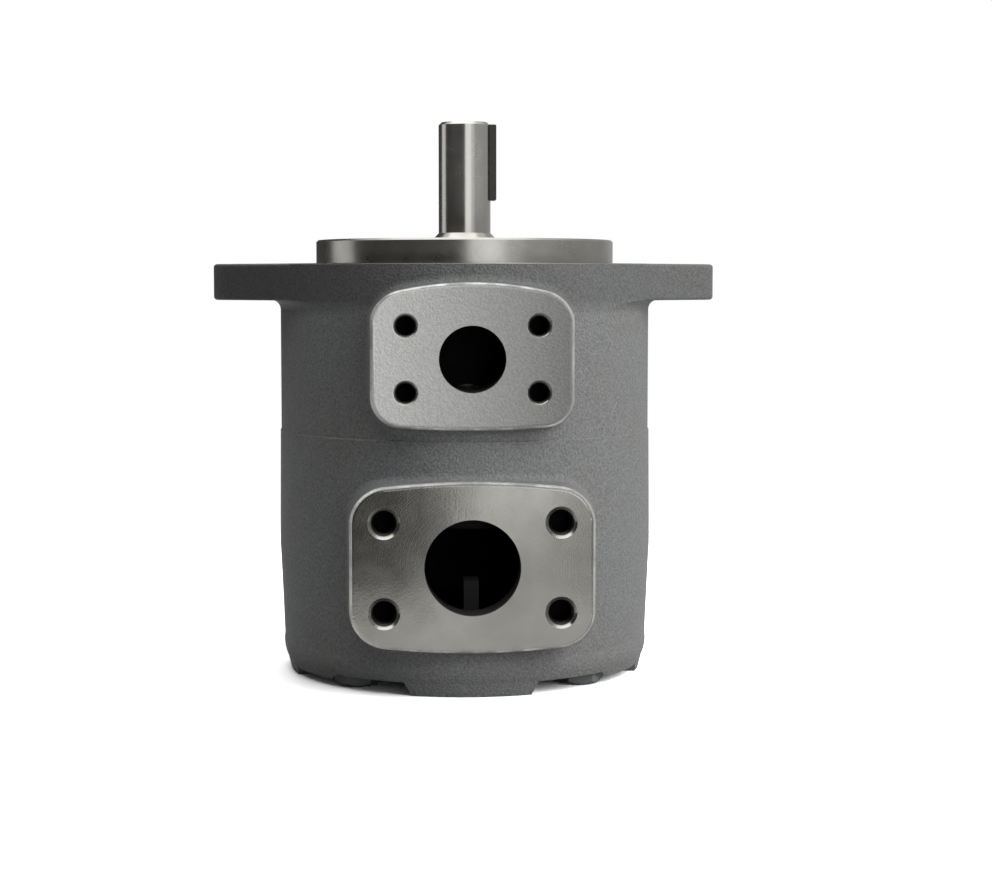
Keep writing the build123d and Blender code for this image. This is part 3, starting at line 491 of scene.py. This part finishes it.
class PumpStage(bpy.types.PropertyGroup):
    """Camera, floor and light."""
    lens: bpy.props.FloatProperty(
        name="Lens", description="Focal length", default=72.763, min=10, unit="CAMERA")
    camera_place: bpy.props.FloatVectorProperty(
        name="Camera", description="Where the camera stands", subtype="TRANSLATION", unit="LENGTH",
        default=(-0.03167, -0.86452, -0.00738))
    camera_turn: bpy.props.FloatVectorProperty(
        name="Camera turn", description="The camera's turn about X, Y and Z", subtype="EULER",
        unit="ROTATION", default=(radians(85.636), 0.0, radians(-2.990)))
    ambient: bpy.props.FloatProperty(
        name="Ambient", description="Even light from all round", default=0.022, min=0)
    floor_radius: bpy.props.FloatProperty(
        name="Floor radius", description="Radius of the pale floor", default=2.0, min=0.5, unit="LENGTH")


# Lamps: name, azimuth from the front towards +X, elevation, distance, width, height, watts,
# and whether metal sees it
LAMPS = (
    ("key_softbox", 14.0, 3.0, 1.1, 0.5, 0.5, 0.8, True),
    ("right_softbox", 55.0, 30.0, 1.2, 1.0, 1.0, 16.0, False),
    ("top_softbox", -40.0, 80.0, 1.0, 1.2, 1.2, 6.5, True),
    ("back_softbox", 185.0, 30.0, 1.2, 0.8, 0.8, 6.0, False),
    ("left_strip", -108.0, 6.0, 1.2, 0.45, 0.9, 0.1, True),
)
# Cards: name, azimuth at both ends, lower and upper edge, distance, shade, and whether only metal sees it
CARDS = (
    ("dark_card_left", -95.0, 0.0, -0.17, 1.2, 1.3, "#141414", False),
    ("dark_card_back_left", -178.0, -121.0, -0.17, 1.2, 1.3, "#3c3c3c", False),
    ("grey_card_right", 42.0, 175.0, -0.17, 1.2, 1.3, "#b8b8b8", True),
    ("low_card_front", -80.0, 0.0, -0.17, -0.09, 0.3, "#181818", True),
    ("low_card_right", 12.0, 80.0, -0.17, -0.09, 0.3, "#9c9c9c", True),
)
AIM = Vector((0.0, 0.0, -0.06))


def bearing(azimuth, elevation=0.0):
    """The direction from the pump at an azimuth from the front and an elevation, in degrees."""
    a, e = radians(azimuth), radians(elevation)
    return Vector((sin(a) * cos(e), -cos(a) * cos(e), sin(e)))


def hang_lamp(name, azimuth, elevation, distance, width, height, watts, mirrored):
    """An area lamp that faces the pump."""
    data = bpy.data.lights.new(name, "AREA")
    data.shape = "RECTANGLE"
    data.size = width
    data.size_y = height
    data.energy = watts
    lamp = bpy.data.objects.new(name, data)
    bpy.context.scene.collection.objects.link(lamp)
    away = bearing(azimuth, elevation)
    lamp.location = AIM + away * distance
    lamp.rotation_euler = away.to_track_quat("Z", "Y").to_euler()
    lamp.visible_camera = False
    lamp.visible_glossy = mirrored


def stand_card(name, start, end, low, high, distance, tone, mirrored_only):
    """A curved studio card round the pump, seen by its surfaces and not by the camera."""
    steps = 24
    angles = [start + (end - start) * i / steps for i in range(steps + 1)]
    rim = [bearing(a) * distance for a in angles]
    points = [(p.x, p.y, h) for h in (low, high) for p in rim]
    faces = [(i, i + 1, i + steps + 2, i + steps + 1) for i in range(steps)]
    mesh = bpy.data.meshes.new(name)
    mesh.from_pydata(points, [], faces)
    card = bpy.data.objects.new(name, mesh)
    bpy.context.scene.collection.objects.link(card)
    material, tree = fresh_material(name)
    # Lit matt card: an even tone, as bright in the metal as its colour.
    close_material(tree, Base_Color=shade("#101010"), Roughness=0.9, Emission_Color=shade(tone),
                   Emission_Strength=1.0)
    mesh.materials.append(material)
    card.visible_camera = False
    card.visible_diffuse = not mirrored_only
    card.visible_shadow = not mirrored_only


def floor_finish(radius):
    """A pale matt floor that keeps the pump's shadow and fades into the white background."""
    # Matt white board: plain, bright to the camera and to metal, and white far from the pump.
    material, tree = fresh_material("matt_white_board")
    x, y = millimetres(tree)[1:3]
    path = put(tree, "LightPath")
    board = put(tree, "BsdfDiffuse", {"Color": shade("#e6e6e6")})
    bright = put(tree, "AddShader", {0: board.outputs[0], 1: board.outputs[0]})
    brighter = put(tree, "AddShader", {0: bright.outputs[0], 1: board.outputs[0]})
    dull = put(tree, "BsdfDiffuse", {"Color": shade("#8a8a8a")})
    lit = put(tree, "MixShader", {0: path.outputs["Is Glossy Ray"], 1: dull.outputs[0],
                                  2: board.outputs[0]})
    seen = put(tree, "MixShader", {0: path.outputs["Is Camera Ray"], 1: lit.outputs[0],
                                   2: brighter.outputs[0]})
    clear = put(tree, "BsdfTransparent")
    far = put(tree, "MapRange", {"Value": reach(tree, x, y), "From Min": FLOOR_FADE_START,
                                 "From Max": radius / MM * FLOOR_FADE_SHARE}, interpolation_type="SMOOTHSTEP")
    fade = both(tree, far.outputs[0], path.outputs["Is Camera Ray"])
    surface = put(tree, "MixShader", {0: fade, 1: seen.outputs[0], 2: clear.outputs[0]})
    put(tree, "OutputMaterial", {"Surface": surface.outputs[0]})
    return material


def white_world(ambient):
    """A world that is white to the camera, to metal and to glass, and a dim even light otherwise."""
    world = bpy.data.worlds.new("studio")
    world.use_nodes = True
    tree = world.node_tree
    tree.nodes.clear()
    path = put(tree, "LightPath")
    rays = ("Is Camera Ray", "Is Glossy Ray", "Is Transmission Ray")
    shows = any_of(tree, [path.outputs[name] for name in rays])
    strength = put(tree, "MapRange", {"Value": shows, "To Min": ambient, "To Max": 1.0})
    light = put(tree, "Background", {"Color": shade("#ffffff"), "Strength": strength.outputs[0]})
    put(tree, "OutputWorld", {"Surface": light.outputs[0]})
    bpy.context.scene.world = world


class PUMP_OT_stage(bpy.types.Operator):
    """Set up the camera, the floor, the cards and the lamps"""
    bl_idname = "pump.stage"
    bl_label = "Stage"

    def execute(self, context):
        stage = context.scene.pump_stage
        scene = context.scene
        scene.view_settings.view_transform = "Standard"
        white_world(stage.ambient)
        camera = bpy.data.objects.new("camera", bpy.data.cameras.new("camera"))
        scene.collection.objects.link(camera)
        camera.data.lens = stage.lens
        camera.location = stage.camera_place
        camera.rotation_euler = stage.camera_turn
        scene.camera = camera
        bpy.ops.object.select_all(action="DESELECT")
        bpy.ops.mesh.primitive_circle_add(vertices=96, radius=stage.floor_radius, fill_type="NGON",
                                          location=(0, 0, FOOT_Z * MM))
        floor = context.object
        floor.name = "floor"
        floor.data.materials.append(floor_finish(stage.floor_radius))
        for card in CARDS:
            stand_card(*card)
        for lamp in LAMPS:
            hang_lamp(*lamp)
        return {"FINISHED"}


class PUMP_OT_castings(bpy.types.Operator):
    """Finish the two castings: paint, grain and cut faces"""
    bl_idname = "pump.castings"
    bl_label = "Castings"

    def execute(self, context):
        dress(casting_finish(context.scene.pump_finish), "front_housing", "rear_housing")
        return {"FINISHED"}


class PUMP_OT_cover_screws(bpy.types.Operator):
    """Finish the four screws under the rear casting"""
    bl_idname = "pump.cover_screws"
    bl_label = "Cover screws"

    def execute(self, context):
        # Painted steel: the castings' grey paint over smooth forged heads, a little glossier than the iron.
        material = worked_metal("painted_screw_steel", "#6a6d6f", "#77797c", 0.45, 0.8, 0.01, False, 0.0)
        dress(material, "cover_screws")
        return {"FINISHED"}


class PUMP_OT_shaft(bpy.types.Operator):
    """Finish the drive shaft and its key"""
    bl_idname = "pump.shaft"
    bl_label = "Shaft and key"

    def execute(self, context):
        # Ground steel: bright, with fine rings round the shaft that draw the lights into upright bands.
        dress(worked_metal("ground_shaft_steel", "#aaa8a3", "#bab8b3", 0.26, 0.25, 0.003), "shaft")
        # Blackened steel: a dark oiled oxide with a soft sheen.
        dress(worked_metal("blackened_key_steel", "#3c3b39", "#4a4947", 0.42, 0.6, 0.006, False), "key")
        return {"FINISHED"}


class PUMP_OT_seal_and_bearing(bpy.types.Operator):
    """Finish the shaft seal, the bearing and its rings"""
    bl_idname = "pump.seal_and_bearing"
    bl_label = "Seal and bearing"

    def execute(self, context):
        # Pressed sheet steel: a dull even grey with faint rings from the press tool.
        dress(worked_metal("pressed_seal_steel", "#8b8b89", "#999997", 0.38, 1.2, 0.006), "seal_case")
        # Nitrile rubber: matt black, faintly mottled from the mould.
        dress(worked_metal("moulded_nitrile_rubber", "#1b1b1b", "#252525", 0.6, 1.5, 0.02, False, 0.0),
              "seal_lip", "hub_o_ring", "plate_o_ring", "housing_o_ring")
        # Phosphated spring steel: dark grey and matt.
        dress(worked_metal("phosphated_spring_steel", "#454648", "#515254", 0.5, 0.7, 0.01, False),
              "seal_spring", "bearing_circlip", "shaft_circlip")
        # Polished bearing steel: nearly a mirror, with hair-fine lines round the tracks.
        dress(worked_metal("polished_bearing_steel", "#c3c4c6", "#d0d1d3", 0.12, 0.3, 0.001),
              "bearing_outer_race", "bearing_inner_race", "bearing_balls", "dowel_pins")
        # Stamped sheet steel: soft satin.
        dress(worked_metal("stamped_cage_steel", "#9d9c98", "#aaa9a5", 0.34, 1.0, 0.008, False),
              "bearing_cage")
        return {"FINISHED"}


class PUMP_OT_cartridge(bpy.types.Operator):
    """Finish the pumping cartridge: plates, ring, rotor and vanes"""
    bl_idname = "pump.cartridge"
    bl_label = "Cartridge"

    def execute(self, context):
        # Lapped iron: an even mid grey satin with faint turned rings.
        dress(worked_metal("lapped_plate_iron", "#8e8d89", "#9b9a96", 0.36, 0.5, 0.006), "pressure_plate")
        # Shaded iron: the same lapped iron, painted nearly black as the shade it stands in, seen through the
        # suction bore.
        dress(worked_metal("shaded_plate_iron", "#0f0e0e", "#161514", 0.7, 0.5, 0.006, True, 0.0), "side_plate")
        # Hardened ground steel: bright and cool, with a fine even grain.
        dress(worked_metal("ground_hardened_steel", "#aeb0b2", "#bcbec0", 0.24, 0.35, 0.003, False),
              "cam_ring", "rotor", *[f"vane_{i:02d}" for i in range(1, 11)])
        # Turned bronze: warm yellow brown with fine rings.
        dress(worked_metal("turned_bronze", "#a5804a", "#b58f57", 0.3, 0.4, 0.005), "rear_bushing")
        # Blackened screws: a dark oxide.
        dress(worked_metal("blackened_screw_steel", "#343434", "#414140", 0.42, 0.6, 0.006, False),
              "cartridge_screws")
        return {"FINISHED"}


class PUMP_OT_port_threads(bpy.types.Operator):
    """Wind the threads in the eight bolt holes of the ports"""
    bl_idname = "pump.port_threads"
    bl_label = "Port threads"

    def execute(self, context):
        # Tapped iron: bare metal painted dark as the shade inside the holes, with a satin that catches the
        # light on the crests.
        material = worked_metal("shaded_tapped_iron", "#353432", "#42413e", 0.42, 0.4, 0.01, False)
        for name, port in PORTS.items():
            pitch, height = THREADS[name]
            lead = port["mouth"] - port["hole"]
            turns = int((port["depth"] - lead) / pitch) - 1
            first = wind_thread(port["hole"] - height * 0.1, pitch, height, turns)
            first.data.materials.append(material)
            aside, above = port["pitch"]
            places = [(sx * aside, sz * above + port["z"]) for sz in (1, -1) for sx in (-1, 1)]
            for number, (x, z) in enumerate(places, 1):
                thread = first.copy()
                thread.data = first.data.copy()
                thread.name = f"{name}_thread_{number}"
                context.scene.collection.objects.link(thread)
                thread.location = (x * MM, (PAD_FACE_Y + lead + pitch / 2) * MM, z * MM)
                settle(thread)
                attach(thread, "housing")
            bpy.data.objects.remove(first)
        return {"FINISHED"}


class PUMP_PT_sidebar(bpy.types.Panel):
    """The pump's steps in the sidebar"""
    bl_idname = "PUMP_PT_sidebar"
    bl_label = "Hydraulic vane pump"
    bl_space_type = "VIEW_3D"
    bl_region_type = "UI"
    bl_category = "Pump"

    def draw(self, context):
        for step in STEPS:
            self.layout.operator(step.bl_idname)
        for group in (context.scene.pump_finish, context.scene.pump_stage):
            for name in group.__annotations__:
                self.layout.prop(group, name)


STEPS = (PUMP_OT_stage, PUMP_OT_castings, PUMP_OT_cover_screws, PUMP_OT_shaft, PUMP_OT_seal_and_bearing,
         PUMP_OT_cartridge, PUMP_OT_port_threads)
CLASSES = (PumpFinish, PumpStage) + STEPS + (PUMP_PT_sidebar,)


def register():
    for item in CLASSES:
        bpy.utils.register_class(item)
    bpy.types.Scene.pump_finish = bpy.props.PointerProperty(type=PumpFinish)
    bpy.types.Scene.pump_stage = bpy.props.PointerProperty(type=PumpStage)


def unregister():
    del bpy.types.Scene.pump_stage
    del bpy.types.Scene.pump_finish
    for item in reversed(CLASSES):
        bpy.utils.unregister_class(item)


def main():
    register()
    bpy.ops.pump.stage()
    bpy.ops.pump.castings()
    bpy.ops.pump.cover_screws()
    bpy.ops.pump.shaft()
    bpy.ops.pump.seal_and_bearing()
    bpy.ops.pump.cartridge()
    bpy.ops.pump.port_threads()


if __name__ == "__main__":
    main()
